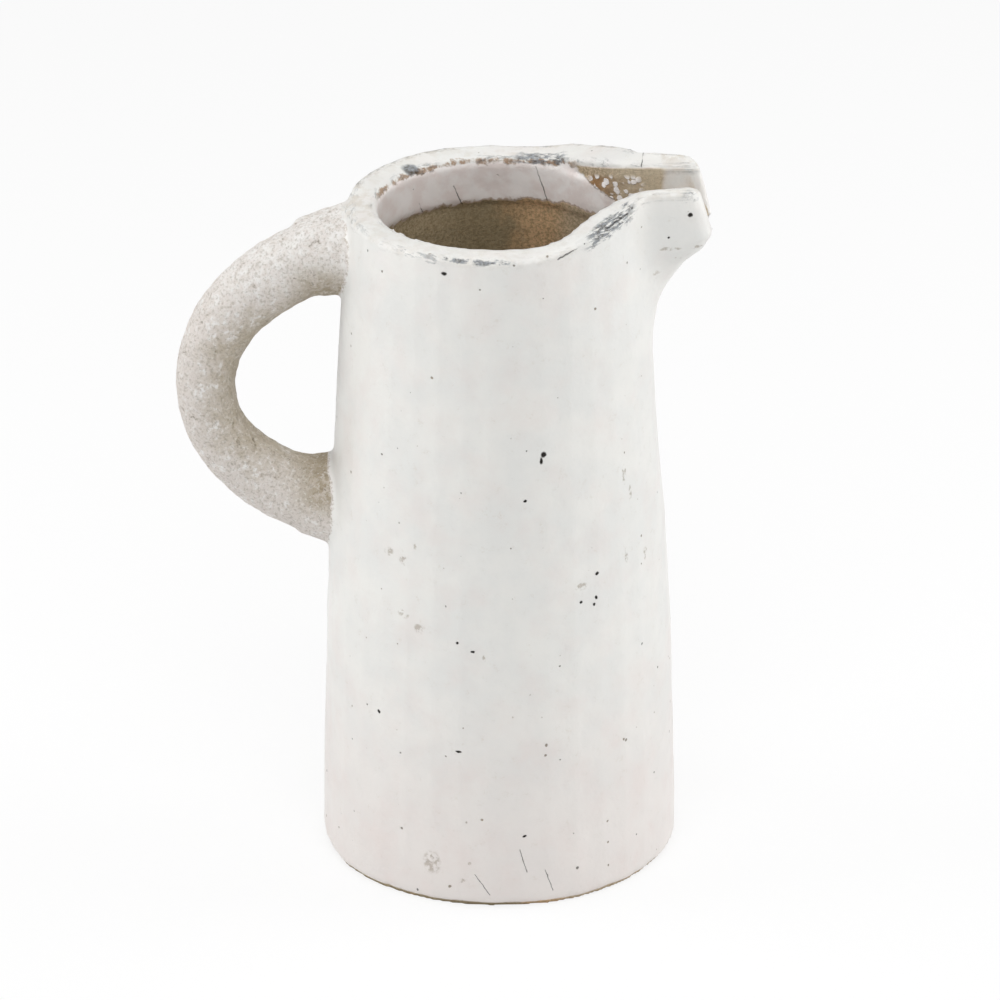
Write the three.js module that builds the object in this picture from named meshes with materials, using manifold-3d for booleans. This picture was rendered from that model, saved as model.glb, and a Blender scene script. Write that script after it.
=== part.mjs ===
// A hand-built clay pitcher: tapered wall on a round base slab, rim coil, pulled spout, looped handle
// luted on with two collars, and a white glaze coat outside and inside the neck.
// Millimetres, +Z up. The origin is the centre of the base, and the spout points along +X.
import * as THREE from "three";
import { mergeVertices } from "three/addons/utils/BufferGeometryUtils.js";
import Module from "manifold-3d";

const wasm = await Module();
wasm.setup();

// Wall
const rimHeight = 280;
const baseRadius = 73;
const wallTaper = [
  // share of the rim's height, how far the wall has drawn in there
  [0.0, 0],
  [0.07, 0.2],
  [0.25, 1.5],
  [0.43, 3.2],
  [0.6, 5.4],
  [0.75, 7.7],
  [0.88, 9.8],
  [1.0, 12.2],
];
const wallThickness = 10;
const rimThickness = 11;
const floorThickness = 12;
const footInset = 1.8;
const footRise = 2.4;
const rimRound = 2.6;

// Spout
const lipRise = 12.4;
const riseStart = 10;
const riseEnd = 66;
const riseDepth = 30;
const spoutReach = 24.3;
const spoutHalfAngle = THREE.MathUtils.degToRad(25);
const lipHalfWidth = 19;
const lipCorner = 7;
const spoutFillet = 8;
const spoutSwell = [
  // depth below the rim, share of the reach there
  [0, 0.8],
  [7, 0.9],
  [14, 1.0],
  [18, 0.84],
  [23, 0.5],
  [30, 0.25],
  [38, 0.06],
  [46, -0.06],
  [64, -0.14],
  [95, -0.11],
  [134, -0.04],
  [179, 0],
];
const channelHalfWidth = 11;
const channelHalfAngle = THREE.MathUtils.degToRad(58);
const channelBlend = 14;
const channelOverrun = 8;
const channelOpening = [
  // depth below the rim, how far the pouring channel is open there
  [0, 1],
  [8, 1],
  [12, 0.93],
  [16, 0.8],
  [20.5, 0.48],
  [26, 0.29],
  [35, 0.13],
  [45, 0.03],
  [54, 0],
];
const spoutSeamInset = 3.5;
const spoutSeamLean = THREE.MathUtils.degToRad(8);
const spoutSeamDepth = 38;

// Rim coil
const rimCoilDepth = 14;

// Glaze coat and the slip in each luted joint
const glazeThickness = 0.9;
const slipGap = 0.3;
const glazeFootLine = 2.4;
const neckGlazeTop = 1.6;
const neckGlazeDepth = 18;
const neckGlazeEnd = 44;

// Handle: its centre line, from the upper root round to the lower
const handleLine = [
  // distance out past the base's edge, depth below the rim, the coil's radius there
  [-23, 19, 14.6],
  [-12, 19.5, 14.6],
  [3, 23.5, 14.6],
  [20, 32.5, 14.2],
  [35, 46.5, 13.2],
  [43.5, 62.5, 12.6],
  [46.2, 78, 12.0],
  [43, 95, 12.2],
  [33.5, 109, 12.8],
  [19, 120.5, 14.2],
  [4, 126.5, 15.4],
  [-11, 129, 16.0],
  [-23, 129.5, 16.0],
];
const collarShare = 0.17;
const collarEdge = 1.2;
const upperCollarFlare = 2.4;
const lowerCollarFlare = 5.2;

// Where the rings of the wall, spout and hollow lie
const wallRingShares = [0.07, 0.2, 0.36, 0.52, 0.66, 0.78];
const spoutRingDepths = [50, 40, 33, 27, 22, 18, 14, 7];
const hollowRingShares = [0.25, 0.5, 0.7];
const channelRingDepths = [54, 42, 33, 27, 23, 19, 15, 11, 7, 0];

// Mesh counts
const frontSteps = 24;
const backSteps = 32;
const handleSteps = 26;
const handleSides = 16;
const collarSteps = 6;

const smooth = (t) => THREE.MathUtils.smoothstep(t, 0, 1);

// Value at x of a smooth curve through a table of [x, value] rows.
function along(table, x) {
  const last = table.length - 1;
  if (x <= table[0][0]) return table[0][1];
  if (x >= table[last][0]) return table[last][1];
  const i = table.findIndex((row) => row[0] > x) - 1;
  const t = (x - table[i][0]) / (table[i + 1][0] - table[i][0]);
  const slope = (k) => {
    const a = table[Math.max(k - 1, 0)];
    const b = table[Math.min(k + 1, last)];
    return (b[1] - a[1]) / (b[0] - a[0]);
  };
  const span = table[i + 1][0] - table[i][0];
  const [p, q] = [table[i][1], table[i + 1][1]];
  const [m, n] = [slope(i) * span, slope(i + 1) * span];
  return (
    (2 * t ** 3 - 3 * t ** 2 + 1) * p +
    (t ** 3 - 2 * t ** 2 + t) * m +
    (3 * t ** 2 - 2 * t ** 3) * q +
    (t ** 3 - t ** 2) * n
  );
}

const outerRadius = (height) => baseRadius - along(wallTaper, height / rimHeight);

function innerRadius(height) {
  const share = smooth((height - rimHeight * 0.8) / (rimHeight * 0.2));
  return outerRadius(height) - THREE.MathUtils.lerp(wallThickness, rimThickness, share);
}

// Lift of the rim and of what is just under it, towards the spout.
function lift(x, height) {
  const nearRim = smooth((height - (rimHeight - riseDepth)) / riseDepth);
  return lipRise * smooth((x - riseStart) / (riseEnd - riseStart)) * nearRim;
}

// Half outline of a spout or channel, from its middle round a corner and back to the circle.
function halfOutline(radius, halfAngle, tip, width, corner, bend) {
  const root = new THREE.Vector2(Math.cos(halfAngle), Math.sin(halfAngle)).multiplyScalar(radius);
  const path = new THREE.Path();
  path.moveTo(tip, 0);
  path.absarc(tip - corner, width - corner, corner, 0, Math.PI / 2, false);
  path.lineTo(bend.x + bend.run, width);
  path.quadraticCurveTo(bend.x, bend.y, root.x, root.y);
  return path;
}

// Closed plan outline: a circle whose front sector is drawn out by a share towards a half outline.
function outline(radius, halfAngle, path, share) {
  const points = [];
  for (let i = 0; i <= frontSteps; i++) {
    const side = (2 * i) / frontSteps - 1;
    const angle = halfAngle * side;
    const circle = new THREE.Vector2(Math.cos(angle), Math.sin(angle)).multiplyScalar(radius);
    const target = path.getPointAt(Math.abs(side));
    target.y *= Math.sign(side);
    points.push(circle.lerp(target, share));
  }
  for (let i = 1; i < backSteps; i++) {
    const angle = halfAngle + ((2 * Math.PI - 2 * halfAngle) * i) / backSteps;
    points.push(new THREE.Vector2(Math.cos(angle), Math.sin(angle)).multiplyScalar(radius));
  }
  return points;
}

// Moves each point of a counter-clockwise outline inwards, square to the outline.
function insetOutline(points, inset) {
  return points.map((point, i) => {
    const before = points[(i + points.length - 1) % points.length];
    const after = points[(i + 1) % points.length];
    const run = after.clone().sub(before).normalize();
    return new THREE.Vector2(point.x - run.y * inset, point.y + run.x * inset);
  });
}

function outerOutline(height) {
  const r = outerRadius(height);
  const bend = { x: Math.sqrt(r ** 2 - lipHalfWidth ** 2), y: lipHalfWidth, run: spoutFillet };
  const path = halfOutline(r, spoutHalfAngle, r + spoutReach, lipHalfWidth, lipCorner, bend);
  return outline(r, spoutHalfAngle, path, along(spoutSwell, rimHeight - height));
}

function innerOutline(height) {
  const r = innerRadius(height);
  const tip = outerRadius(height) + spoutReach + channelOverrun;
  const bend = { x: r, y: channelHalfWidth * 1.2, run: channelBlend };
  const path = halfOutline(r, channelHalfAngle, tip, channelHalfWidth, channelHalfWidth, bend);
  return outline(r, channelHalfAngle, path, along(channelOpening, rimHeight - height));
}

// Closed mesh through a stack of rings, with a flat fan on each end.
function skin(rings) {
  const count = rings[0].length;
  const positions = rings.flat().flatMap((p) => [p.x, p.y, p.z]);
  const index = [];
  for (let j = 0; j + 1 < rings.length; j++)
    for (let i = 0; i < count; i++) {
      const k = (i + 1) % count;
      const [a, b, c, d] = [j * count + i, j * count + k, (j + 1) * count + k, (j + 1) * count + i];
      index.push(a, b, c, a, c, d);
    }
  for (const [ring, flip] of [
    [0, true],
    [rings.length - 1, false],
  ]) {
    const centre = rings[ring].reduce((sum, p) => sum.add(p), new THREE.Vector3()).divideScalar(count);
    const middle = positions.length / 3;
    positions.push(centre.x, centre.y, centre.z);
    for (let i = 0; i < count; i++) {
      const pair = [ring * count + i, ring * count + ((i + 1) % count)];
      index.push(...(flip ? pair.reverse() : pair), middle);
    }
  }
  const geometry = new THREE.BufferGeometry();
  geometry.setAttribute("position", new THREE.Float32BufferAttribute(positions, 3));
  geometry.setIndex(index);
  return geometry;
}

function solidOf(geometry, matrix = new THREE.Matrix4()) {
  const bare = geometry.clone().applyMatrix4(matrix);
  bare.deleteAttribute("normal");
  bare.deleteAttribute("uv");
  const merged = mergeVertices(bare, 1e-4);
  const mesh = new wasm.Mesh({
    numProp: 3,
    vertProperties: merged.attributes.position.array,
    triVerts: new Uint32Array(merged.index.array),
  });
  return new wasm.Manifold(mesh);
}

function ringAt(height, flat, inset) {
  return insetOutline(flat, inset).map(
    (p, i) => new THREE.Vector3(p.x, p.y, height + lift(flat[i].x, height)),
  );
}

// The pitcher's outside as a filled form, taken in by inset all over but at the foot's sole.
function outerForm(inset) {
  const foot = [
    [0, footInset],
    [footRise * 0.3, footInset * 0.42],
    [footRise, 0],
  ];
  const wall = wallRingShares.map((share) => [share * rimHeight, 0]);
  const spout = spoutRingDepths.map((depth) => [rimHeight - depth, 0]);
  const top = rimHeight - inset;
  const rim = [
    [top - rimRound, 0],
    [top - rimRound * 0.35, rimRound * 0.3],
    [top, rimRound],
  ];
  return solidOf(
    skin([...foot, ...wall, ...spout, ...rim].map(([h, extra]) => ringAt(h, outerOutline(h), inset + extra))),
  );
}

// The hollow inside with its pouring channel, as a filled form that runs out past the rim.
function hollowForm(inset) {
  const depths = channelRingDepths.map((depth) => rimHeight - depth);
  const wall = hollowRingShares.map((share) => share * rimHeight);
  const rings = [floorThickness + inset, ...wall, ...depths].map((h) => ringAt(h, innerOutline(h), inset));
  const past = rings[rings.length - 1].map((p) => new THREE.Vector3(p.x, p.y, p.z + 2 * lipRise));
  return solidOf(skin([...rings, past]));
}

// Everything above a level.
const wide = 4 * rimHeight;
function above(level) {
  const box = new THREE.BoxGeometry(wide, wide, wide);
  return solidOf(box, new THREE.Matrix4().makeTranslation(0, 0, level + wide / 2));
}

// Everything in front of the plane where the spout is luted on, moved by gap towards the spout.
function aheadOfSeam(gap) {
  const box = new THREE.BoxGeometry(wide, wide, wide);
  const low = rimHeight - spoutSeamDepth;
  const place = new THREE.Matrix4()
    .makeTranslation(rimRadius - spoutSeamInset + gap, 0, rimHeight + lipRise)
    .multiply(new THREE.Matrix4().makeRotationY(-spoutSeamLean));
  const ahead = solidOf(box, place.multiply(new THREE.Matrix4().makeTranslation(wide / 2, 0, 0)));
  return ahead.intersect(above(low + gap));
}

// Closed tube along the handle's line, from one share of its length to another.
function handleTube(from, to, steps, extraRadius) {
  const centre = new THREE.CatmullRomCurve3(
    handleLine.map(([out, depth]) => new THREE.Vector3(-baseRadius - out, 0, rimHeight - depth)),
  );
  const radii = handleLine.map(([, , r], i) => [i / (handleLine.length - 1), r]);
  const rings = [];
  for (let j = 0; j <= steps; j++) {
    const t = THREE.MathUtils.lerp(from, to, j / steps);
    const point = centre.getPoint(t);
    const ahead = centre.getTangent(t);
    const across = new THREE.Vector3(0, 1, 0);
    const out = new THREE.Vector3().crossVectors(across, ahead).normalize();
    const r = along(radii, t) + extraRadius(t);
    rings.push(
      Array.from({ length: handleSides }, (_, i) => {
        const angle = (2 * Math.PI * i) / handleSides;
        return point
          .clone()
          .addScaledVector(out, r * Math.cos(angle))
          .addScaledVector(across, r * Math.sin(angle));
      }),
    );
  }
  return solidOf(skin(rings));
}

const rimRadius = outerRadius(rimHeight);
const clayInset = glazeThickness + slipGap;
const clayOutside = outerForm(clayInset);
const hollow = hollowForm(0);
const clay = clayOutside.subtract(hollow);
const glazeOutside = outerForm(0);
const clearOfBody = outerForm(-slipGap);

// Clay body
const baseSlab = clayOutside.subtract(above(floorThickness));
const spoutSide = aheadOfSeam(slipGap / 2);
const wallSide = aheadOfSeam(-slipGap / 2);
const rimSeam = rimHeight - rimCoilDepth;
const wallAndRim = clay.subtract(wallSide).intersect(above(floorThickness + slipGap));
const bodyWall = wallAndRim.subtract(above(rimSeam - slipGap / 2));
const rimCoil = wallAndRim.intersect(above(rimSeam + slipGap / 2));
const spout = clay.intersect(spoutSide);

// Handle and the two collars of clay that hold it to the wall
const handle = handleTube(0, 1, handleSteps, () => 0).subtract(clearOfBody);
const handleRoom = handleTube(0, 1, handleSteps, () => slipGap);

function collar(from, to, flare) {
  const thickness = (t) => {
    const share = Math.abs(t - from) / Math.abs(to - from);
    return slipGap + collarEdge + flare * (1 - smooth(share));
  };
  const blank = handleTube(Math.min(from, to), Math.max(from, to), collarSteps, thickness);
  return blank.subtract(handleRoom).subtract(clearOfBody);
}
const upperCollar = collar(0, collarShare, upperCollarFlare);
const lowerCollar = collar(1, 1 - collarShare, lowerCollarFlare);

// Glaze: one coat over the outside and the rim, and a band inside the neck that stops short of the spout
const glazeCoat = glazeOutside
  .subtract(outerForm(glazeThickness))
  .subtract(hollow)
  .intersect(above(glazeFootLine));
const neckLow = above(rimHeight - neckGlazeDepth);
const neckHigh = above(rimHeight - neckGlazeTop);
const front = solidOf(
  new THREE.BoxGeometry(wide, wide, wide),
  new THREE.Matrix4().makeTranslation(neckGlazeEnd + wide / 2, 0, 0),
);
const neckGlaze = hollowForm(slipGap)
  .subtract(hollowForm(clayInset))
  .intersect(neckLow)
  .subtract(neckHigh)
  .subtract(front);

const glazeFinish = { color: 0xe9e7e2, roughness: 0.42, metalness: 0 };
const neckFinish = { color: 0xcfc6c2, roughness: 0.45, metalness: 0 };
const clayFinish = { color: 0x8d7f68, roughness: 0.92, metalness: 0 };
const handleFinish = { color: 0xcfc8bd, roughness: 0.9, metalness: 0 };

function piece(name, solid, finish) {
  const made = solid.getMesh();
  const geometry = new THREE.BufferGeometry();
  geometry.setAttribute("position", new THREE.Float32BufferAttribute(made.vertProperties, 3));
  geometry.setIndex(new THREE.BufferAttribute(made.triVerts, 1));
  geometry.computeVertexNormals();
  const mesh = new THREE.Mesh(geometry, new THREE.MeshStandardMaterial(finish));
  mesh.name = name;
  return mesh;
}

const pitcher = new THREE.Group();
pitcher.add(
  piece("base_slab", baseSlab, clayFinish),
  piece("body_wall", bodyWall, clayFinish),
  piece("rim_coil", rimCoil, clayFinish),
  piece("spout", spout, clayFinish),
  piece("handle", handle, handleFinish),
  piece("upper_handle_collar", upperCollar, handleFinish),
  piece("lower_handle_collar", lowerCollar, handleFinish),
  piece("body_glaze", glazeCoat, glazeFinish),
  piece("neck_glaze", neckGlaze, neckFinish),
);

export default pitcher;
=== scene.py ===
import math

import bpy
import numpy as np
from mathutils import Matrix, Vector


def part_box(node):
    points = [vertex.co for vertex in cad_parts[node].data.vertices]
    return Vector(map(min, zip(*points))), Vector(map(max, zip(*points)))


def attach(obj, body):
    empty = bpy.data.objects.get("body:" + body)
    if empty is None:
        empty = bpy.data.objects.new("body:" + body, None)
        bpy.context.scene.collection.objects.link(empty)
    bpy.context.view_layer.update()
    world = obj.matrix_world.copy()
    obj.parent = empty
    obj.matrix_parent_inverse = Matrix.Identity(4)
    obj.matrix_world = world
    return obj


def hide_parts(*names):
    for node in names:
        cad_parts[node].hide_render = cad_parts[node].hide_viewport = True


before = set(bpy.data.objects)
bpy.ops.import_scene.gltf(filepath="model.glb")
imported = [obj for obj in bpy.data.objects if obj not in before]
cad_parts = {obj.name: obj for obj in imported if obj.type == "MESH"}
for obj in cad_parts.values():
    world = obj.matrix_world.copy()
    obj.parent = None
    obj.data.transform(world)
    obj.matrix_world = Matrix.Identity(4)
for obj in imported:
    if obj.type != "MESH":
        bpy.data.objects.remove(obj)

mm = 0.001
scene = bpy.context.scene
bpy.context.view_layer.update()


# helpers

def hexToLinear(code, alpha=1.0):
    channels = [int(code[i:i + 2], 16) / 255 for i in (1, 3, 5)]
    linear = [c / 12.92 if c <= 0.04045 else ((c + 0.055) / 1.055) ** 2.4 for c in channels]
    return (*linear, alpha)


def addNode(tree, kind, settings=None, **links):
    # A link is a socket's name with _ for a space, or inN for socket N, and a value or another node's socket.
    node = tree.nodes.new(kind)
    for key, value in (settings or {}).items():
        setattr(node, key, value)
    for key, value in links.items():
        numbered = key[:2] == "in" and key[2:].isdigit()
        socket = node.inputs[int(key[2:])] if numbered else node.inputs[key.replace("_", " ")]
        if isinstance(value, bpy.types.NodeSocket):
            tree.links.new(value, socket)
        else:
            socket.default_value = value
    return node


def onlySelect(*objs):
    if bpy.context.mode != "OBJECT":
        bpy.ops.object.mode_set(mode="OBJECT")
    bpy.ops.object.select_all(action="DESELECT")
    for obj in objs:
        obj.select_set(True)
    bpy.context.view_layer.objects.active = objs[0]


def applyModifier(obj, kind, **settings):
    onlySelect(obj)
    modifier = obj.modifiers.new(kind.title(), kind)
    for key, value in settings.items():
        setattr(modifier, key, value)
    bpy.ops.object.modifier_apply(modifier=modifier.name)


def displaceByClouds(obj, name, size, depth, group=""):
    texture = bpy.data.textures.new(name, "CLOUDS")
    texture.noise_scale = size
    applyModifier(obj, "DISPLACE", texture=texture, texture_coords="LOCAL", strength=depth, mid_level=0.5,
                  vertex_group=group)


def readPoints(obj):
    values = np.zeros(len(obj.data.vertices) * 3)
    obj.data.vertices.foreach_get("co", values)
    return values.reshape(-1, 3)


def readNormals(obj):
    values = np.zeros(len(obj.data.vertices) * 3)
    obj.data.vertex_normals.foreach_get("vector", values)
    return values.reshape(-1, 3)


def writeAttribute(obj, name, values):
    attribute = obj.data.attributes.new(name, "FLOAT", "POINT")
    attribute.data.foreach_set("value", np.ascontiguousarray(values, dtype=np.float32))


def step(low, high, values):
    t = np.clip((values - low) / (high - low), 0, 1)
    return t * t * (3 - 2 * t)


# The pot: copies of the CAD nodes are welded, swollen until they touch across the slip joints, joined, and
# skinned over again as one piece, so that the handle's roots run into the wall as smeared clay does.

pot = {
    "swell": 0.2 * mm,
    "skinCell": 1.3 * mm,
    "smoothing": 3,
    "rootSmearing": 14,
    "unevenSize": 40 * mm,
    "unevenDepth": 1.3 * mm,
    "dimpleSize": 12 * mm,
    "dimpleDepth": 0.35 * mm,
    "coarseSize": 7 * mm,
    "coarseDepth": 1.1 * mm,
    "soleHeight": 0.7 * mm,
    "wearReach": 14,
    "rimClear": 276 * mm,
    "neckBandEnd": 250 * mm,
    "rimStart": 236 * mm,
}


def wallRadius(z):
    # outer radius of the wall at a height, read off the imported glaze's own box
    low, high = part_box("body_glaze")
    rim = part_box("rim_coil")[1].y
    return np.interp(z, [low.z, 0.25 * high.z, 0.6 * high.z, 0.95 * high.z], [high.y, 0.98 * high.y, 0.925 * high.y, rim])


def copyOfNodes(names):
    copies = []
    for name in names:
        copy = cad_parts[name].copy()
        copy.data = copy.data.copy()
        copy.parent = None
        copy.data.materials.clear()
        scene.collection.objects.link(copy)
        onlySelect(copy)
        bpy.ops.object.mode_set(mode="EDIT")
        bpy.ops.mesh.select_all(action="SELECT")
        bpy.ops.mesh.remove_doubles(threshold=0.01 * mm)
        bpy.ops.object.mode_set(mode="OBJECT")
        applyModifier(copy, "DISPLACE", strength=pot["swell"], mid_level=0)
        copies.append(copy)
    onlySelect(*copies)
    bpy.ops.object.join()
    return bpy.context.view_layer.objects.active


def keepLargest(obj):
    onlySelect(obj)
    bpy.ops.mesh.separate(type="LOOSE")
    parts = sorted(bpy.context.selected_objects, key=lambda part: len(part.data.vertices))
    for part in parts[:-1]:
        bpy.data.objects.remove(part)
    return parts[-1]


def convexity(obj, reach):
    # how far each point stands proud of a smoothed copy, in mm
    smooth = obj.copy()
    smooth.data = obj.data.copy()
    scene.collection.objects.link(smooth)
    applyModifier(smooth, "SMOOTH", factor=0.5, iterations=reach)
    proud = ((readPoints(obj) - readPoints(smooth)) * readNormals(obj)).sum(1) / mm
    bpy.data.objects.remove(smooth)
    return proud


print("stage: pot")
body = copyOfNodes(sorted(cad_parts))
applyModifier(body, "REMESH", mode="VOXEL", voxel_size=pot["skinCell"])
body = keepLargest(body)
applyModifier(body, "SMOOTH", factor=0.5, iterations=pot["smoothing"])


def paintGroup(obj, name, weights):
    group = obj.vertex_groups.new(name=name)
    for i in np.nonzero(weights > 0)[0]:
        group.add([int(i)], float(weights[i]), "REPLACE")


points = readPoints(body)
radial = np.hypot(points[:, 0], points[:, 1])
handleSide = (points[:, 0] < 0) & (np.abs(points[:, 1]) < 30 * mm) & (points[:, 2] < pot["rimClear"])
standProud = np.where(handleSide, radial - wallRadius(points[:, 2]), -9 * mm)
paintGroup(body, "handleCoil", step(0.5 * mm, 5 * mm, standProud))
paintGroup(body, "roots", step(-4 * mm, 0, standProud) * step(26 * mm, 10 * mm, standProud))
applyModifier(body, "SMOOTH", factor=0.5, iterations=pot["rootSmearing"], vertex_group="roots")
displaceByClouds(body, "unevenWall", pot["unevenSize"], pot["unevenDepth"])
displaceByClouds(body, "dimples", pot["dimpleSize"], pot["dimpleDepth"])
displaceByClouds(body, "coarseClay", pot["coarseSize"], pot["coarseDepth"], "handleCoil")

# The far rim of this pot leans up and outwards, and its arrises are where the glaze wore through.

rimPlan = {
    "level": 280,
    "lipRise": 12.4,
    "riseFrom": 10,
    "riseTo": 66,
    "innerRadius": 49.8,
    "outerRadius": 60,
    "innerLine": [(29.2, 38.8), (39.6, 28.4), (49.6, 18.8), (58, 12.4), (66, 11), (80, 11)],
    "outerLine": [(53, 28), (57.5, 21.5), (63, 18.6), (79, 18)],
    "farLift": 3.2,
    "farLiftAlong": [(30, 1.0), (38, 0.55), (48, 0.7), (60, 1.3), (80, 1.6)],
    "reach": 12,
}


def crest(x):
    return rimPlan["level"] + rimPlan["lipRise"] * step(rimPlan["riseFrom"], rimPlan["riseTo"], x)


def arrisCurve(radius, line, samples=240):
    # points along an edge of the rim, in mm: an arc round the back, then a line of points to the lip, both sides
    start = math.atan2(line[0][1], line[0][0])
    angles = np.linspace(start, 2 * math.pi - start, samples)
    arc = np.stack([radius * np.cos(angles), radius * np.sin(angles)], 1)
    run = np.array(line, float)
    t = np.linspace(0, len(run) - 1, samples // 3)
    half = np.stack([np.interp(t, range(len(run)), run[:, k]) for k in (0, 1)], 1)
    plan = np.concatenate([half[::-1], arc, half * [1, -1]])
    return np.column_stack([plan, crest(plan[:, 0])])


def nearest(points, curve, reach):
    found = np.full(len(points), float(reach))
    for low in range(0, len(points), 20000):
        block = points[low:low + 20000, None, :] - curve[None, :, :]
        found[low:low + 20000] = np.minimum(reach, np.sqrt((block ** 2).sum(2)).min(1))
    return found


def rimShare(points):
    # 0 at the rim's inner edge and 1 at its outer edge, in plan, on the far side
    x, y = points[:, 0] / mm, points[:, 1] / mm
    inner = np.array(rimPlan["innerLine"])
    outer = np.array(rimPlan["outerLine"])
    roundShare = (np.hypot(x, y) - rimPlan["innerRadius"]) / (rimPlan["outerRadius"] - rimPlan["innerRadius"])
    yIn = np.interp(x, inner[:, 0], inner[:, 1])
    yOut = np.where(x < outer[0, 0], np.sqrt(np.maximum(rimPlan["outerRadius"] ** 2 - x ** 2, 1)),
                    np.interp(x, outer[:, 0], outer[:, 1]))
    lipShare = (y - yIn) / np.maximum(yOut - yIn, 1)
    mix = step(20, 32, x)
    return np.clip(roundShare * (1 - mix) + lipShare * mix, 0, 1)


def liftOfFarRim(x, y):
    places, shares = zip(*rimPlan["farLiftAlong"])
    return rimPlan["farLift"] * np.interp(x, places, shares) * step(-4, 16, y)


points = readPoints(body)
height = points[:, 2] / mm
farLift = rimShare(points) * liftOfFarRim(points[:, 0] / mm, points[:, 1] / mm)
farLift *= step(-22, -3, height - crest(points[:, 0] / mm))
points[:, 2] += farLift * mm
sole = points[:, 2] < pot["soleHeight"]
points[sole, 2] = 0
body.data.vertices.foreach_set("co", points.ravel())
body.data.update()
normals = readNormals(body)
radial = np.hypot(points[:, 0], points[:, 1])
outward = (normals[:, :2] * points[:, :2]).sum(1) / np.maximum(radial, mm)
writeAttribute(body, "handleClay", step(0.8 * mm, 4 * mm, np.where(handleSide, radial - wallRadius(points[:, 2]), -1)))
writeAttribute(body, "innerSide", step(-0.1, 0.5, -outward))
height = points[:, 2] / mm
writeAttribute(body, "belowRim", np.clip(crest(points[:, 0] / mm) - height, -5, 60))
innerCurve = arrisCurve(rimPlan["innerRadius"], rimPlan["innerLine"]) - np.array([0, 0, 0.7])
outerCurve = arrisCurve(rimPlan["outerRadius"], rimPlan["outerLine"])
outerCurve[:, 2] += liftOfFarRim(outerCurve[:, 0], outerCurve[:, 1]) - 0.8
roundRim = np.arctan2(points[:, 1], points[:, 0]) * np.hypot(points[:, 0], points[:, 1])
writeAttribute(body, "alongRim", roundRim)
nearRim = height > rimPlan["level"] - 25
for name, curve in (("innerArris", innerCurve), ("outerArris", outerCurve)):
    far = np.full(len(points), float(rimPlan["reach"]))
    far[nearRim] = nearest(points[nearRim] / mm, curve, rimPlan["reach"])
    writeAttribute(body, name, far)
writeAttribute(body, "wear", convexity(body, pot["wearReach"]))
print("pot faces", len(body.data.polygons))


# the handle and the bare inside come away as pieces of their own

def cutAway(obj, name, chosen):
    onlySelect(obj)
    obj.data.polygons.foreach_set("select", chosen)
    bpy.ops.object.mode_set(mode="EDIT")
    bpy.ops.mesh.select_mode(type="FACE")
    bpy.ops.object.mode_set(mode="OBJECT")
    obj.data.polygons.foreach_set("select", chosen)
    bpy.ops.object.mode_set(mode="EDIT")
    bpy.ops.mesh.separate(type="SELECTED")
    bpy.ops.object.mode_set(mode="OBJECT")
    part = [o for o in bpy.context.selected_objects if o is not obj][0]
    part.name = name
    part.data.name = name
    return part


def faceCentres(obj):
    centres = np.zeros(len(obj.data.polygons) * 3)
    facing = np.zeros(len(obj.data.polygons) * 3)
    obj.data.polygons.foreach_get("center", centres)
    obj.data.polygons.foreach_get("normal", facing)
    return centres.reshape(-1, 3), facing.reshape(-1, 3)


print("stage: pieces")
centres, facing = faceCentres(body)
reach = np.hypot(centres[:, 0], centres[:, 1])
onHandle = (centres[:, 0] < 0) & (np.abs(centres[:, 1]) < 30 * mm) & (reach > wallRadius(centres[:, 2]) + 2.5 * mm)
handle = cutAway(body, "loopedHandle", onHandle)
centres, facing = faceCentres(body)
reach = np.hypot(centres[:, 0], centres[:, 1])
deep = (reach < wallRadius(centres[:, 2]) - 5 * mm) & (centres[:, 2] < pot["neckBandEnd"]) & (centres[:, 2] > 5 * mm)
inside = cutAway(body, "bareInside", deep)
rim = cutAway(body, "glazedRim", faceCentres(body)[0][:, 2] > pot["rimStart"])
body.name = "glazedBody"
body.data.name = "glazedBody"
for piece in (body, rim, handle, inside):
    onlySelect(piece)
    bpy.ops.object.shade_smooth()
    print(piece.name, len(piece.data.polygons))


# materials

def startMaterial(name):
    material = bpy.data.materials.new(name)
    material.use_nodes = True
    tree = material.node_tree
    tree.nodes.clear()
    coords = addNode(tree, "ShaderNodeTexCoord").outputs["Object"]
    return material, tree, coords


def noiseAt(tree, coords, size, detail=3.0, roughness=0.55):
    return addNode(tree, "ShaderNodeTexNoise", Vector=coords, Scale=1 / size, Detail=detail,
                   Roughness=roughness).outputs["Fac"]


def ramp(tree, value, low, high, fromLow=0.0, toHigh=1.0):
    node = addNode(tree, "ShaderNodeMapRange", {"interpolation_type": "SMOOTHSTEP"}, Value=value,
                   From_Min=low, From_Max=high, To_Min=fromLow, To_Max=toHigh)
    return node.outputs["Result"]


def calc(tree, operation, a, b=0.0):
    return addNode(tree, "ShaderNodeMath", {"operation": operation}, in0=a, in1=b).outputs[0]


def blend(tree, factor, a, b, mode="MIX"):
    node = addNode(tree, "ShaderNodeMix", {"data_type": "RGBA", "blend_type": mode}, in0=factor, in6=a, in7=b)
    return node.outputs[2]


def attribute(tree, name):
    return addNode(tree, "ShaderNodeAttribute", {"attribute_name": name}).outputs["Fac"]


def warped(tree, coords, size, amount):
    noise = addNode(tree, "ShaderNodeTexNoise", Vector=coords, Scale=1 / size, Detail=3.0).outputs["Color"]
    centred = addNode(tree, "ShaderNodeVectorMath", {"operation": "SUBTRACT"}, in0=noise, in1=(0.5, 0.5, 0.5))
    scaled = addNode(tree, "ShaderNodeVectorMath", {"operation": "SCALE"}, in0=centred.outputs[0], Scale=2 * amount)
    return addNode(tree, "ShaderNodeVectorMath", {"operation": "ADD"}, in0=coords, in1=scaled.outputs[0]).outputs[0]


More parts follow.
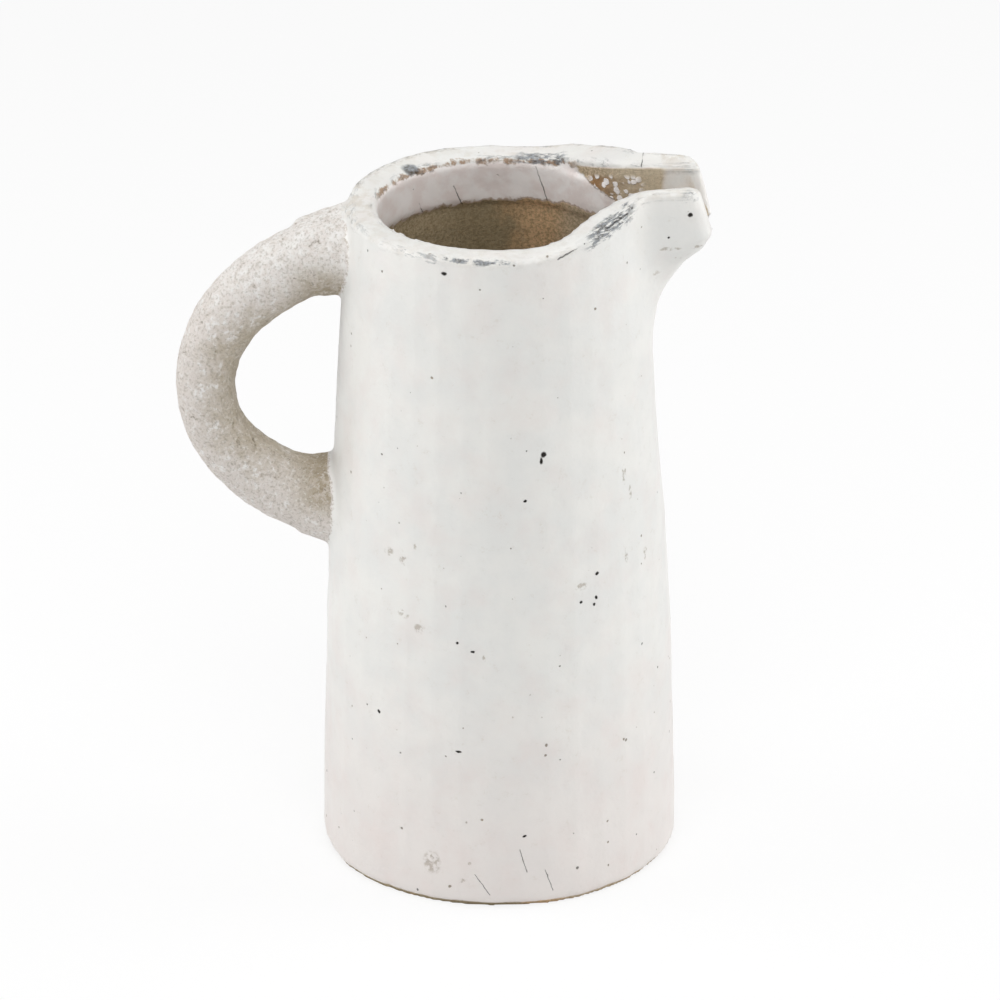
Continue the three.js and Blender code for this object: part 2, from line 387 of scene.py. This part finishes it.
def spots(tree, coords, places):
    # places: centre x, y, z and half sizes x, y, z in mm; 1 inside each patch, fading to 0 at its edge
    total = None
    for x, y, z, rx, ry, rz in places:
        away = addNode(tree, "ShaderNodeVectorMath", {"operation": "SUBTRACT"}, in0=coords,
                       in1=(x * mm, y * mm, z * mm)).outputs[0]
        sized = addNode(tree, "ShaderNodeVectorMath", {"operation": "MULTIPLY"}, in0=away,
                        in1=(1 / (rx * mm), 1 / (ry * mm), 1 / (rz * mm))).outputs[0]
        far = addNode(tree, "ShaderNodeVectorMath", {"operation": "LENGTH"}, in0=sized).outputs["Value"]
        mask = ramp(tree, far, 1.0, 0.55)
        total = mask if total is None else calc(tree, "MAXIMUM", total, mask)
    return total


glaze = {
    "white": "#E9E8E4",
    "cool": "#E4E4E1",
    "pink": "#E4DBD7",
    "dust": "#CFC6B8",
    "slate": "#7C838A",
    "black": "#221E1A",
    "brown": "#8C7A62",
    "rust": "#93704B",
    "bareClay": "#B7A688",
    # the dark of the clay's grain, also used for painted shade
    "darkClayAndShade": "#7C6E50",
    "tan": "#DAB68D",
    "sand": "#CBBFA8",
    "neckWhite": "#F8F4F2",
    "neckMauve": "#EFE6E3",
}

# where the photograph shows marks: centre x, y, z and half size along each, in mm
blackPits = [
    (17.9, -63.4, 198.6, 1.3, 3.0, 1.6),
    (17.0, -63.8, 196.0, 0.8, 2.0, 2.0),
    (10.6, -66.1, 179.4, 0.8, 2.0, 0.8),
    (39.6, -56.1, 142.9, 0.9, 2.0, 0.9),
    (33.2, -60.7, 132.3, 0.8, 2.0, 0.8),
    (39.3, -56.9, 132.8, 0.7, 2.0, 1.1),
    (38.5, -57.7, 130.0, 0.7, 2.0, 0.8),
    (-16.1, -69.7, 69.6, 1.5, 2.0, 0.6),
    (-16.5, -67.7, 117.6, 0.8, 2.0, 0.8),
    (-10.3, -69.1, 114.1, 1.0, 2.0, 0.7),
    (10.6, -71.5, 32.1, 1.1, 2.0, 0.7),
    (-21.5, -58.4, 273.8, 1.5, 2.5, 1.1),
    (-48.6, -51.9, 79.0, 0.7, 2.0, 0.9),
    (76.5, -18.2, 283.0, 1.1, 3.0, 1.1),
    (68.0, -18.5, 273.5, 0.6, 3.0, 0.6),
    (-66.5, -6.0, 243.0, 2.2, 3.5, 1.6),
    (-66.0, -8.0, 234.5, 1.0, 3.0, 1.6),
]
brownMarks = [
    (-5.8, -69.6, 111.2, 0.8, 2.0, 2.0),
    (-33.5, -59.9, 155.8, 0.9, 3.0, 1.6),
    (-38.0, -57.8, 126.0, 3.5, 3.0, 2.2),
    (-31.5, -61.5, 121.0, 3.0, 3.0, 2.6),
    (-44.5, -52.6, 151.0, 3.0, 3.0, 2.4),
    (-38.5, -57.0, 149.0, 2.4, 3.0, 3.0),
    (50.5, -44.0, 181.0, 1.0, 3.0, 5.0),
    (53.0, -41.5, 172.0, 0.9, 3.0, 4.0),
    (51.5, -44.0, 146.0, 1.0, 3.0, 4.5),
    (59.4, -35.1, 142.0, 0.9, 3.0, 3.4),
    (33.0, -60.0, 139.0, 4.0, 3.0, 2.0),
    (-14.9, -71.2, 11.5, 1.6, 3.0, 1.2),
    (-11.6, -71.8, 19.6, 1.2, 3.0, 1.0),
    (-27.2, -67.5, 18.3, 5.0, 3.0, 6.0),
    (68.5, -18.5, 268.6, 5.5, 3.5, 0.9),
    (79.5, -17.0, 269.0, 3.0, 3.5, 0.9),
    (72.0, -18.5, 264.0, 2.4, 3.5, 0.7),
    (65.0, -20.5, 258.0, 4.0, 3.5, 1.6),
    (-67.3, -22.0, 216.0, 1.2, 5.0, 10.0),
    (-68.3, -18.0, 235.0, 1.4, 5.0, 9.0),
]
# cracks in the glaze: both ends, half width and the way the surface faces there, in mm
across, upward = (0, -1, 0), (0, 0, 1)
hairlines = [
    ((-34.8, 36.5, 273.0), (-31.0, 39.6, 261.0), 0.3, across),
    ((-18.4, 47.0, 270.0), (-14.8, 48.2, 261.0), 0.3, across),
    ((15.2, 48.0, 278.0), (20.0, 46.2, 263.5), 0.3, across),
    ((8.7, -72.2, 26.0), (11.6, -71.9, 15.9), 0.2, across),
    ((19.0, -70.4, 16.0), (22.3, -69.6, 6.4), 0.2, across),
    ((-9.6, -72.2, 14.7), (-3.5, -72.9, 5.8), 0.2, across),
    ((23.5, -56.0, 279.4), (34.0, -51.0, 283.4), 0.38, across),
    ((42.1, -43.3, 286.5), (53.0, -30.0, 289.8), 0.5, across),
    ((58.4, 19.6, 294.6), (57.3, 11.1, 290.5), 0.35, upward),
]


def both(tree, *masks):
    total = masks[0]
    for mask in masks[1:]:
        total = calc(tree, "MULTIPLY", total, mask)
    return total


def either(tree, *masks):
    total = masks[0]
    for mask in masks[1:]:
        total = calc(tree, "MAXIMUM", total, mask)
    return total


def nearLines(tree, coords, lines):
    # 1 on each straight crack, fading to 0 at its half width along the surface
    total = None
    for start, end, half, facing in lines:
        a, b = np.array(start) * mm, np.array(end) * mm
        length = float(np.linalg.norm(b - a))
        along = tuple((b - a) / length)
        away = addNode(tree, "ShaderNodeVectorMath", {"operation": "SUBTRACT"}, in0=coords, in1=tuple(a)).outputs[0]
        run = addNode(tree, "ShaderNodeVectorMath", {"operation": "DOT_PRODUCT"}, in0=away, in1=along).outputs["Value"]
        run = addNode(tree, "ShaderNodeClamp", Value=run, Min=0.0, Max=length).outputs[0]
        foot = addNode(tree, "ShaderNodeVectorMath", {"operation": "SCALE"}, in0=along, Scale=run).outputs[0]
        rest = addNode(tree, "ShaderNodeVectorMath", {"operation": "SUBTRACT"}, in0=away, in1=foot).outputs[0]
        flat = tuple(1.0 - abs(side) for side in facing)
        beside = addNode(tree, "ShaderNodeVectorMath", {"operation": "MULTIPLY"}, in0=rest, in1=flat).outputs[0]
        far = addNode(tree, "ShaderNodeVectorMath", {"operation": "LENGTH"}, in0=beside).outputs["Value"]
        depth = addNode(tree, "ShaderNodeVectorMath", {"operation": "LENGTH"}, in0=rest).outputs["Value"]
        mask = both(tree, ramp(tree, far, half * mm, 0.4 * half * mm), ramp(tree, depth, 5 * mm, 4 * mm))
        total = mask if total is None else calc(tree, "MAXIMUM", total, mask)
    return total


def firedClayTone(tree, coords):
    # colour and grain of the unglazed clay: olive, with painted shade darkest opposite the viewer, tan and sandy below
    # the spout
    axes = addNode(tree, "ShaderNodeSeparateXYZ", Vector=coords).outputs
    grain = noiseAt(tree, coords, 1.3 * mm, 5.0, 0.75)
    patch = calc(tree, "ADD", noiseAt(tree, coords, 11 * mm, 5.0), ramp(tree, axes["X"], -6 * mm, 20 * mm, -0.16, 0.3))
    colour = blend(tree, ramp(tree, patch, 0.42, 0.66), hexToLinear(glaze["bareClay"]), hexToLinear(glaze["tan"]))
    # painted shade: a band of the clay, inside and at the foot, darkened opposite the viewer
    shadow = both(tree, ramp(tree, axes["X"], -34 * mm, -8 * mm), ramp(tree, axes["X"], 16 * mm, 2 * mm), 0.5)
    colour = blend(tree, shadow, colour, hexToLinear(glaze["darkClayAndShade"]))
    colour = blend(tree, ramp(tree, axes["X"], 20 * mm, 32 * mm, 0.0, 0.7), colour, hexToLinear(glaze["sand"]))
    colour = blend(tree, ramp(tree, grain, 0.42, 0.6, 0.0, 0.6), colour, hexToLinear(glaze["darkClayAndShade"]))
    return colour, grain


def glazedClay():
    # Stoneware glaze, dipped and fired off-white: satin, faintly mottled, with pinholes and chips down to
    # slate and bare clay. Its body shows at the foot, inside the spout and below the neck.
    material, tree, coords = startMaterial("whiteStonewareGlaze")
    axes = addNode(tree, "ShaderNodeSeparateXYZ", Vector=coords).outputs
    ragged = warped(tree, coords, 3.5 * mm, 1.1 * mm)
    fineRagged = warped(tree, coords, 1.6 * mm, 0.45 * mm)
    handleClay = attribute(tree, "handleClay")
    innerSide = attribute(tree, "innerSide")
    belowRim = attribute(tree, "belowRim")
    innerArris = attribute(tree, "innerArris")
    scratched = addNode(tree, "ShaderNodeCombineXYZ", X=calc(tree, "MULTIPLY", attribute(tree, "alongRim"), 0.28),
                        Y=calc(tree, "MULTIPLY", attribute(tree, "outerArris"), mm), Z=axes["Z"]).outputs[0]
    streaks = noiseAt(tree, scratched, 1.5 * mm, 5.0, 0.7)
    outerArris = attribute(tree, "outerArris")
    fine = noiseAt(tree, coords, 2.2 * mm, 4.0)
    gritty = noiseAt(tree, coords, 1.1 * mm, 4.0, 0.65)
    patchy = noiseAt(tree, coords, 5 * mm, 5.0, 0.65)
    mottle = noiseAt(tree, coords, 20 * mm, 5.0)

    # the white coat, warmer and dustier towards the foot
    colour = blend(tree, ramp(tree, mottle, 0.35, 0.65), hexToLinear(glaze["white"]), hexToLinear(glaze["cool"]))
    warmth = calc(tree, "ADD", ramp(tree, noiseAt(tree, coords, 16 * mm, 5.0), 0.42, 0.75, 0.0, 0.4),
                  ramp(tree, axes["Z"], 120 * mm, 0, 0.0, 0.6))
    colour = blend(tree, warmth, colour, hexToLinear(glaze["pink"]))
    dusty = both(tree, ramp(tree, patchy, 0.56, 0.72), ramp(tree, gritty, 0.45, 0.6))
    colour = blend(tree, calc(tree, "MULTIPLY", dusty, 0.3), colour, hexToLinear(glaze["dust"]))

    # tiny pinholes, scattered over the whole coat
    cells = addNode(tree, "ShaderNodeTexVoronoi", {"feature": "F1"}, Vector=fineRagged, Scale=1 / (6.5 * mm),
                    Randomness=1.0)
    picked = addNode(tree, "ShaderNodeSeparateColor", Color=cells.outputs["Color"]).outputs
    holeSize = ramp(tree, picked["Red"], 0.5, 1.0, 0.02, 0.1)
    pinhole = ramp(tree, calc(tree, "SUBTRACT", holeSize, cells.outputs["Distance"]), -0.02, 0.03)
    pinhole = both(tree, pinhole, ramp(tree, picked["Red"], 0.5, 0.56))
    holeTone = blend(tree, picked["Green"], hexToLinear(glaze["brown"]), hexToLinear(glaze["black"]))
    colour = blend(tree, calc(tree, "MULTIPLY", pinhole, 0.8), colour, holeTone)

    marks = both(tree, spots(tree, ragged, brownMarks), ramp(tree, noiseAt(tree, coords, 1.8 * mm, 4.0), 0.42, 0.6))
    colour = blend(tree, calc(tree, "MULTIPLY", marks, 0.5), colour, hexToLinear(glaze["brown"]))

    # rim: the crest is smudged, and both arrises are worn to slate and rust
    crestBand = both(tree, ramp(tree, belowRim, 4.0, 1.0), ramp(tree, innerSide, 0.8, 0.2))
    smudge = both(tree, crestBand, ramp(tree, patchy, 0.42, 0.62), ramp(tree, axes["Y"], -40 * mm, 20 * mm, 0.35, 1.0))
    colour = blend(tree, calc(tree, "MULTIPLY", smudge, 0.6), colour, hexToLinear(glaze["dust"]))

    roughInner = calc(tree, "ADD", innerArris, calc(tree, "MULTIPLY", calc(tree, "SUBTRACT", patchy, 0.5), 7.0))
    roughOuter = calc(tree, "ADD", outerArris, calc(tree, "MULTIPLY", calc(tree, "SUBTRACT", patchy, 0.5), 9.0))
    farSide = both(tree, ramp(tree, axes["Y"], 4 * mm, 14 * mm), ramp(tree, axes["X"], 34 * mm, 28 * mm))
    rustLine = both(tree, ramp(tree, roughInner, 1.5, 0.5), farSide, ramp(tree, gritty, 0.3, 0.4))
    colour = blend(tree, calc(tree, "MULTIPLY", rustLine, 0.85), colour, hexToLinear(glaze["rust"]))
    nearFront = ramp(tree, axes["Y"], -30 * mm, -38 * mm)
    strong = both(tree, nearFront, ramp(tree, axes["X"], -27 * mm, -20 * mm), ramp(tree, axes["X"], 8 * mm, 3 * mm))
    faint = both(tree, nearFront, ramp(tree, axes["X"], -44 * mm, -36 * mm), ramp(tree, axes["X"], -20 * mm, -25 * mm))
    patch = both(tree, ramp(tree, axes["X"], 33 * mm, 37 * mm), ramp(tree, axes["X"], 57 * mm, 50 * mm),
                 ramp(tree, axes["Y"], -20 * mm, -26 * mm))
    lipEnd = both(tree, ramp(tree, axes["X"], 72 * mm, 76 * mm), ramp(tree, patchy, 0.4, 0.55))
    farPatch = both(tree, ramp(tree, axes["X"], 5 * mm, 9 * mm), ramp(tree, axes["X"], 29 * mm, 25 * mm),
                    ramp(tree, axes["Y"], 20 * mm, 30 * mm))
    farChip = spots(tree, ragged, [(-35.8, 36.5, 280.5, 5.0, 4.5, 3.5), (15.0, 50.5, 279.0, 3.5, 3.0, 1.8)])
    farSmear = both(tree, ramp(tree, axes["Y"], 10 * mm, 20 * mm), ramp(tree, patchy, 0.5, 0.62))
    outerLine = ramp(tree, roughOuter, 1.8, 0.6)
    outerBand = ramp(tree, roughOuter, 4.6, 2.6)
    slate = either(tree, both(tree, outerLine, strong), calc(tree, "MULTIPLY", both(tree, outerLine, faint), 0.6),
                   both(tree, outerBand, patch), both(tree, outerBand, lipEnd),
                   both(tree, ramp(tree, roughInner, 5.0, 3.0), farPatch),
                   calc(tree, "MULTIPLY", both(tree, outerBand, farSmear), 0.55))
    slate = both(tree, slate, ramp(tree, streaks, 0.42, 0.54))
    wholeRim = both(tree, ramp(tree, calc(tree, "MINIMUM", innerArris, outerArris), 4.0, 1.0),
                    ramp(tree, belowRim, 9.0, 6.0), ramp(tree, axes["Z"], 262 * mm, 268 * mm))
    scuffs = both(tree, wholeRim, ramp(tree, streaks, 0.48, 0.6), ramp(tree, noiseAt(tree, coords, 9 * mm, 4.0), 0.4, 0.56),
                  ramp(tree, axes["Y"], -60 * mm, 20 * mm, 0.15, 0.75))
    slate = either(tree, slate, scuffs)
    slate = either(tree, slate, farChip)
    slateTone = blend(tree, ramp(tree, noiseAt(tree, coords, 1.5 * mm, 4.0, 0.7), 0.44, 0.6),
                      hexToLinear(glaze["slate"]), hexToLinear(glaze["black"]))
    colour = blend(tree, calc(tree, "MULTIPLY", slate, 0.8), colour, slateTone)

    # inside the neck a thinner, mauve-white coat with a rusty lower edge, then bare clay
    neckTone = blend(tree, ramp(tree, noiseAt(tree, coords, 9 * mm, 5.0), 0.4, 0.62), hexToLinear(glaze["neckWhite"]),
                     hexToLinear(glaze["neckMauve"]))
    # the bare clay colour, with its painted shade
    clayWithPaintedShade = firedClayTone(tree, coords)[0]
    inNeck = both(tree, ramp(tree, innerSide, 0.35, 0.6), ramp(tree, roughInner, 0.2, 1.4),
                  ramp(tree, belowRim, 0.4, 1.2))
    colour = blend(tree, inNeck, colour, neckTone)
    edgeNoise = calc(tree, "MULTIPLY", calc(tree, "SUBTRACT", patchy, 0.5), 7 * mm)
    edgeHeight = calc(tree, "ADD", calc(tree, "SUBTRACT", axes["Z"], calc(tree, "MULTIPLY", axes["X"], 0.055)), edgeNoise)
    inside = ramp(tree, innerSide, 0.35, 0.6)
    bandEdge = both(tree, inside, ramp(tree, edgeHeight, 263.6 * mm, 262.4 * mm))
    colour = blend(tree, calc(tree, "MULTIPLY", bandEdge, 0.7), colour, hexToLinear(glaze["rust"]))
    bareInside = both(tree, inside, ramp(tree, edgeHeight, 262.4 * mm, 261.8 * mm))
    sinceSpout = calc(tree, "MULTIPLY", calc(tree, "SUBTRACT", axes["X"], 29 * mm), 0.9 / mm)
    edge = calc(tree, "ADD", calc(tree, "SUBTRACT", sinceSpout, belowRim), calc(tree, "MULTIPLY", edgeNoise, 1 / mm))
    channel = both(tree, inside, ramp(tree, edge, -0.6, 0.6), ramp(tree, belowRim, 0.5, 1.6))
    blisterZone = both(tree, ramp(tree, axes["X"], 35 * mm, 39 * mm), ramp(tree, axes["X"], 60 * mm, 55 * mm),
                       ramp(tree, belowRim, 3.5, 6.0))
    bubbles = addNode(tree, "ShaderNodeTexVoronoi", {"feature": "F1"}, Vector=ragged, Scale=1 / (3.6 * mm))
    blisters = both(tree, blisterZone, channel, ramp(tree, bubbles.outputs["Distance"], 0.47, 0.38))
    lipDust = both(tree, ramp(tree, axes["X"], 66 * mm, 82 * mm), ramp(tree, patchy, 0.4, 0.6))
    channelTone = blend(tree, both(tree, blisterZone, ramp(tree, patchy, 0.3, 0.55)), clayWithPaintedShade,
                        hexToLinear(glaze["rust"]))
    sandy = ramp(tree, axes["X"], 38 * mm, 52 * mm, 0.0, 0.6)
    channelTone = blend(tree, sandy, channelTone, hexToLinear(glaze["sand"]))
    channelTone = blend(tree, lipDust, channelTone, hexToLinear(glaze["dust"]))
    channelTone = blend(tree, blisters, channelTone, hexToLinear(glaze["neckWhite"]))
    colour = blend(tree, channel, colour, channelTone)
    foot = ramp(tree, addNode(tree, "ShaderNodeSeparateXYZ", Vector=warped(tree, coords, 9 * mm, 1.2 * mm)).outputs["Z"],
                2.6 * mm, 1.6 * mm)
    bare = either(tree, bareInside, foot)
    colour = blend(tree, bare, colour, clayWithPaintedShade)

    # the handle's chalky clay creeps over the glaze round its roots
    creep = calc(tree, "ADD", handleClay, calc(tree, "MULTIPLY", calc(tree, "SUBTRACT", patchy, 0.5), 1.7))
    rootZone = ramp(tree, handleClay, 0.0, 0.06)
    nearRoot = both(tree, rootZone, ramp(tree, creep, 0.02, 0.3))
    colour = blend(tree, calc(tree, "MULTIPLY", nearRoot, 0.5), colour, hexToLinear(glaze["pink"]))
    onRoot = both(tree, rootZone, ramp(tree, creep, 0.35, 0.6))
    # the wash colour brings its painted root shade and the painted light on the loop's top here too
    colour = blend(tree, onRoot, colour, washTone(tree, coords, 0.1)[0])
    seam = both(tree, rootZone, ramp(tree, creep, 0.02, 0.2), ramp(tree, creep, 0.5, 0.3), ramp(tree, gritty, 0.4, 0.55),
                ramp(tree, axes["Y"], 5 * mm, -5 * mm), 0.5)
    colour = blend(tree, seam, colour, hexToLinear(glaze["brown"]))

    cracks = nearLines(tree, fineRagged, hairlines)
    colour = blend(tree, calc(tree, "MULTIPLY", cracks, 0.75), colour, hexToLinear(glaze["black"]))
    pits = spots(tree, warped(tree, coords, 2.0 * mm, 0.5 * mm), blackPits)
    colour = blend(tree, pits, colour, hexToLinear(glaze["black"]))

    rough = either(tree, bare, channel, onRoot, pits, slate)
    roughness = calc(tree, "ADD", calc(tree, "MULTIPLY", rough, 0.5), ramp(tree, mottle, 0.3, 0.7, 0.36, 0.48))
    height = calc(tree, "MULTIPLY", noiseAt(tree, coords, 7 * mm, 3.0), 0.5)
    height = calc(tree, "ADD", height, calc(tree, "MULTIPLY", fine, 0.12))
    height = calc(tree, "ADD", height, calc(tree, "MULTIPLY", both(tree, crestBand, patchy), 0.7))
    height = calc(tree, "ADD", height, calc(tree, "MULTIPLY", blisters, 0.5))
    height = calc(tree, "SUBTRACT", height, calc(tree, "MULTIPLY", pits, 0.9))
    height = calc(tree, "SUBTRACT", height, calc(tree, "MULTIPLY", cracks, 0.4))
    height = calc(tree, "SUBTRACT", height, calc(tree, "MULTIPLY", slate, 0.25))
    height = calc(tree, "SUBTRACT", height, calc(tree, "MULTIPLY", pinhole, 0.3))
    height = calc(tree, "SUBTRACT", height, calc(tree, "MULTIPLY", marks, 0.2))
    height = calc(tree, "ADD", height, calc(tree, "MULTIPLY", both(tree, gritty, rough), 0.6))
    bump = addNode(tree, "ShaderNodeBump", Strength=0.75, Distance=1 * mm, Height=height)
    shader = addNode(tree, "ShaderNodeBsdfPrincipled", Base_Color=colour, Roughness=roughness, IOR=1.5,
                     Normal=bump.outputs[0])
    addNode(tree, "ShaderNodeOutputMaterial", Surface=shader.outputs[0])
    return material


wash = {
    "taupe": "#C0B5A3",
    "chalkAndLitSide": "#E0D9D3",
    "lime": "#F0EEEB",
    # brown of the painted shade at the handle's roots
    "paintedRootShade": "#A5977F",
    "crack": "#81755F",
}


def washTone(tree, coords, extra=0.0):
    # colour and height of lime wash rubbed over coarse clay: whiter on the outside and top of the loop, partly the
    # wash and partly painted light, with painted shade on the inner side and at the roots
    grain = noiseAt(tree, coords, 1.2 * mm, 5.0, 0.7)
    crust = noiseAt(tree, warped(tree, coords, 4 * mm, 2 * mm), 3.5 * mm, 5.0, 0.65)
    blotch = noiseAt(tree, warped(tree, coords, 9 * mm, 4 * mm), 15 * mm, 5.0, 0.6)
    away = addNode(tree, "ShaderNodeVectorMath", {"operation": "SUBTRACT"}, in0=coords,
                   in1=(-78 * mm, 0, 205 * mm)).outputs[0]
    flat = addNode(tree, "ShaderNodeVectorMath", {"operation": "MULTIPLY"}, in0=away, in1=(1, 0, 1)).outputs[0]
    fromGap = addNode(tree, "ShaderNodeVectorMath", {"operation": "LENGTH"}, in0=flat).outputs["Value"]
    # partly painted light and shade: whiter away from the loop's centre, taupe on its shaded inner side
    chalkAndLitSide = calc(tree, "ADD", calc(tree, "MULTIPLY", blotch, 0.6), ramp(tree, fromGap, 26 * mm, 54 * mm, 0.0, 0.42 + extra))
    chalkAndLitSide = calc(tree, "ADD", chalkAndLitSide, calc(tree, "MULTIPLY", calc(tree, "SUBTRACT", crust, 0.5), 0.6))
    colour = blend(tree, ramp(tree, chalkAndLitSide, 0.2, 0.7), hexToLinear(wash["taupe"]), hexToLinear(wash["chalkAndLitSide"]))
    colour = blend(tree, both(tree, ramp(tree, crust, 0.54, 0.66), ramp(tree, chalkAndLitSide, 0.35, 0.6)), colour,
                   hexToLinear(wash["lime"]))
    axes = addNode(tree, "ShaderNodeSeparateXYZ", Vector=coords).outputs
    # partly painted light: the top of the loop whitened
    crest = both(tree, ramp(tree, axes["Z"], 225 * mm, 262 * mm), ramp(tree, fromGap, 34 * mm, 50 * mm),
                 ramp(tree, crust, 0.36, 0.6, 0.1, 0.75))
    colour = blend(tree, crest, colour, hexToLinear(wash["lime"]))
    # painted shade: the handle darkened to brown at its roots, where it meets the wall
    root = both(tree, ramp(tree, axes["X"], -90 * mm, -72 * mm), ramp(tree, fromGap, 60 * mm, 46 * mm),
                ramp(tree, crust, 0.36, 0.56, 0.35, 0.9))
    colour = blend(tree, root, colour, hexToLinear(wash["paintedRootShade"]))
    colour = blend(tree, ramp(tree, grain, 0.52, 0.36, 0.0, 0.4), colour, hexToLinear(wash["crack"]))
    flecks = ramp(tree, noiseAt(tree, coords, 1.6 * mm, 5.0, 0.75), 0.54, 0.64, 0.0, 0.45)
    colour = blend(tree, flecks, colour, hexToLinear(wash["lime"]))
    cracks = ramp(tree, crust, 0.36, 0.3)
    colour = blend(tree, calc(tree, "MULTIPLY", cracks, 0.55), colour, hexToLinear(wash["crack"]))
    height = calc(tree, "ADD", calc(tree, "MULTIPLY", grain, 0.7), calc(tree, "MULTIPLY", crust, 1.1))
    return colour, calc(tree, "SUBTRACT", height, calc(tree, "MULTIPLY", cracks, 0.4))


def limewashedClay():
    # Coarse handle clay with a chalky lime wash rubbed over it: matt, granular, whiter on the outside, partly from
    # painted light.
    material, tree, coords = startMaterial("limewashedCoarseClay")
    colour, height = washTone(tree, coords)
    bump = addNode(tree, "ShaderNodeBump", Strength=0.85, Distance=1 * mm, Height=height)
    shader = addNode(tree, "ShaderNodeBsdfPrincipled", Base_Color=colour, Roughness=0.88, IOR=1.45,
                     Normal=bump.outputs[0])
    addNode(tree, "ShaderNodeOutputMaterial", Surface=shader.outputs[0])
    return material


def bareClay():
    # Unglazed fired clay of the inside: olive brown, gritty, with a tan patch below the spout.
    material, tree, coords = startMaterial("bareFiredClay")
    # the clay colour, with painted shade darkest opposite the viewer
    colour, grain = firedClayTone(tree, coords)
    bump = addNode(tree, "ShaderNodeBump", Strength=0.85, Distance=1 * mm, Height=grain)
    shader = addNode(tree, "ShaderNodeBsdfPrincipled", Base_Color=colour, Roughness=0.95, IOR=1.45,
                     Normal=bump.outputs[0])
    addNode(tree, "ShaderNodeOutputMaterial", Surface=shader.outputs[0])
    return material


print("stage: materials")
glazeMaterial = glazedClay()
for piece, material in ((body, glazeMaterial), (rim, glazeMaterial), (handle, limewashedClay()), (inside, bareClay())):
    piece.data.materials.clear()
    piece.data.materials.append(material)
    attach(piece, "root")
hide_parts("body_glaze", "base_slab")
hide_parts("rim_coil", "spout", "neck_glaze")
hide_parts("handle", "upper_handle_collar", "lower_handle_collar")
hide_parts("body_wall")


# studio: white floor and backdrop, soft light from both sides and above

studio = {
    "floorSize": 6.0,
    "floorWhite": "#F4F4F4",
    "cameraWhite": 0.82,
    "worldLight": 0.26,
    "leftLight": 16.0,
    "rightLight": 17.5,
    "frontLight": 26.0,
    "topLight": 9.0,
}


def whiteFloor():
    material, tree, coords = startMaterial("paintedStudioFloor")
    matt = addNode(tree, "ShaderNodeBsdfDiffuse", Color=hexToLinear(studio["floorWhite"]))
    white = addNode(tree, "ShaderNodeEmission", Color=(1, 1, 1, 1), Strength=1.0)
    path = addNode(tree, "ShaderNodeLightPath").outputs
    seen = calc(tree, "MAXIMUM", path["Is Camera Ray"], calc(tree, "MAXIMUM", path["Is Glossy Ray"],
                                                             path["Is Transmission Ray"]))
    mix = addNode(tree, "ShaderNodeMixShader", in0=calc(tree, "MULTIPLY", seen, studio["cameraWhite"]),
                  in1=matt.outputs[0], in2=white.outputs[0])
    addNode(tree, "ShaderNodeOutputMaterial", Surface=mix.outputs[0])
    return material


def addLamp(name, place, size, power):
    bpy.ops.object.light_add(type="AREA", location=place)
    lamp = bpy.context.object
    lamp.name = name
    lamp.data.shape = "RECTANGLE"
    lamp.data.size, lamp.data.size_y = size
    lamp.data.energy = power
    aim = -lamp.location.copy()
    aim.z += 0.15
    lamp.rotation_euler = aim.to_track_quat("-Z", "Y").to_euler()


print("stage: studio")
onlySelect(body)
bpy.ops.mesh.primitive_plane_add(size=studio["floorSize"], location=(0, 0, -0.1 * mm))
floor = bpy.context.object
floor.name = "studioFloor"
floor.data.materials.append(whiteFloor())
world = bpy.data.worlds.new("paleStudio")
scene.world = world
world.use_nodes = True
tree = world.node_tree
tree.nodes.clear()
path = addNode(tree, "ShaderNodeLightPath").outputs
seen = calc(tree, "MAXIMUM", path["Is Camera Ray"], path["Is Transmission Ray"])
strength = ramp(tree, seen, 0.0, 1.0, studio["worldLight"], 1.0)
background = addNode(tree, "ShaderNodeBackground", Color=(1, 1, 1, 1), Strength=strength)
addNode(tree, "ShaderNodeOutputWorld", Surface=background.outputs[0])
addLamp("leftSoftbox", (-1.7, 0.1, 0.9), (1.2, 1.6), studio["leftLight"])
addLamp("rightSoftbox", (1.7, 0.3, 0.8), (1.2, 1.6), studio["rightLight"])
addLamp("frontSoftbox", (0.0, -1.3, 2.0), (1.6, 1.4), studio["frontLight"])
addLamp("topSoftbox", (0.0, 0.5, 2.3), (1.6, 1.2), studio["topLight"])

cameraFit = {
    "place": (0.0006, -2.5522, 1.3017),
    "tilt": 65.712,
    "lens": 246.2,
}
bpy.ops.object.camera_add(location=cameraFit["place"], rotation=(math.radians(cameraFit["tilt"]), 0, 0))
camera = bpy.context.object
camera.name = "photoCamera"
camera.data.lens = cameraFit["lens"]
camera.data.sensor_width = 36
camera.data.clip_end = 20
scene.camera = camera
scene.view_settings.view_transform = "Standard"

print("stage: finish")
